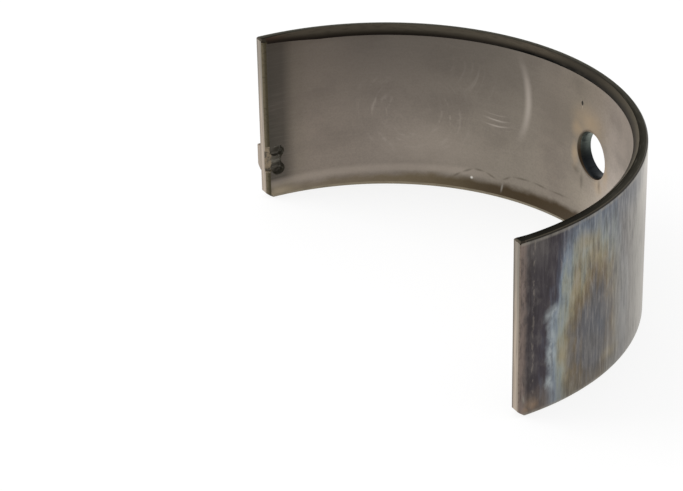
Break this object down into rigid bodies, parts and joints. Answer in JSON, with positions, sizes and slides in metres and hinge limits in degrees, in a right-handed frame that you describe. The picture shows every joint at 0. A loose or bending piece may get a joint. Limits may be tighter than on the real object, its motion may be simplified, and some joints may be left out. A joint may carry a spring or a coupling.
{
  "type": "engine bearing half shell",
  "caption": "Thin half-round lined steel shell of a connecting-rod bearing, with chamfered side edges, a locating tang at one parting face and a dowel hole at the crown.",
  "frame": {"origin": "on the journal axis in the plane of the parting faces, halfway along the shell", "axes": "+Z along the journal axis, +Y towards the crown, +X towards the plain end away from the tang"},
  "size_m": [0.0572, 0.0283, 0.0202],
  "materials": {
    "lined_steel": "satin grey lining on a heat-tinted steel back"
  },
  "bodies": {
    "root": {"bearing_shell": "lined_steel"}
  },
  "joints": []
}
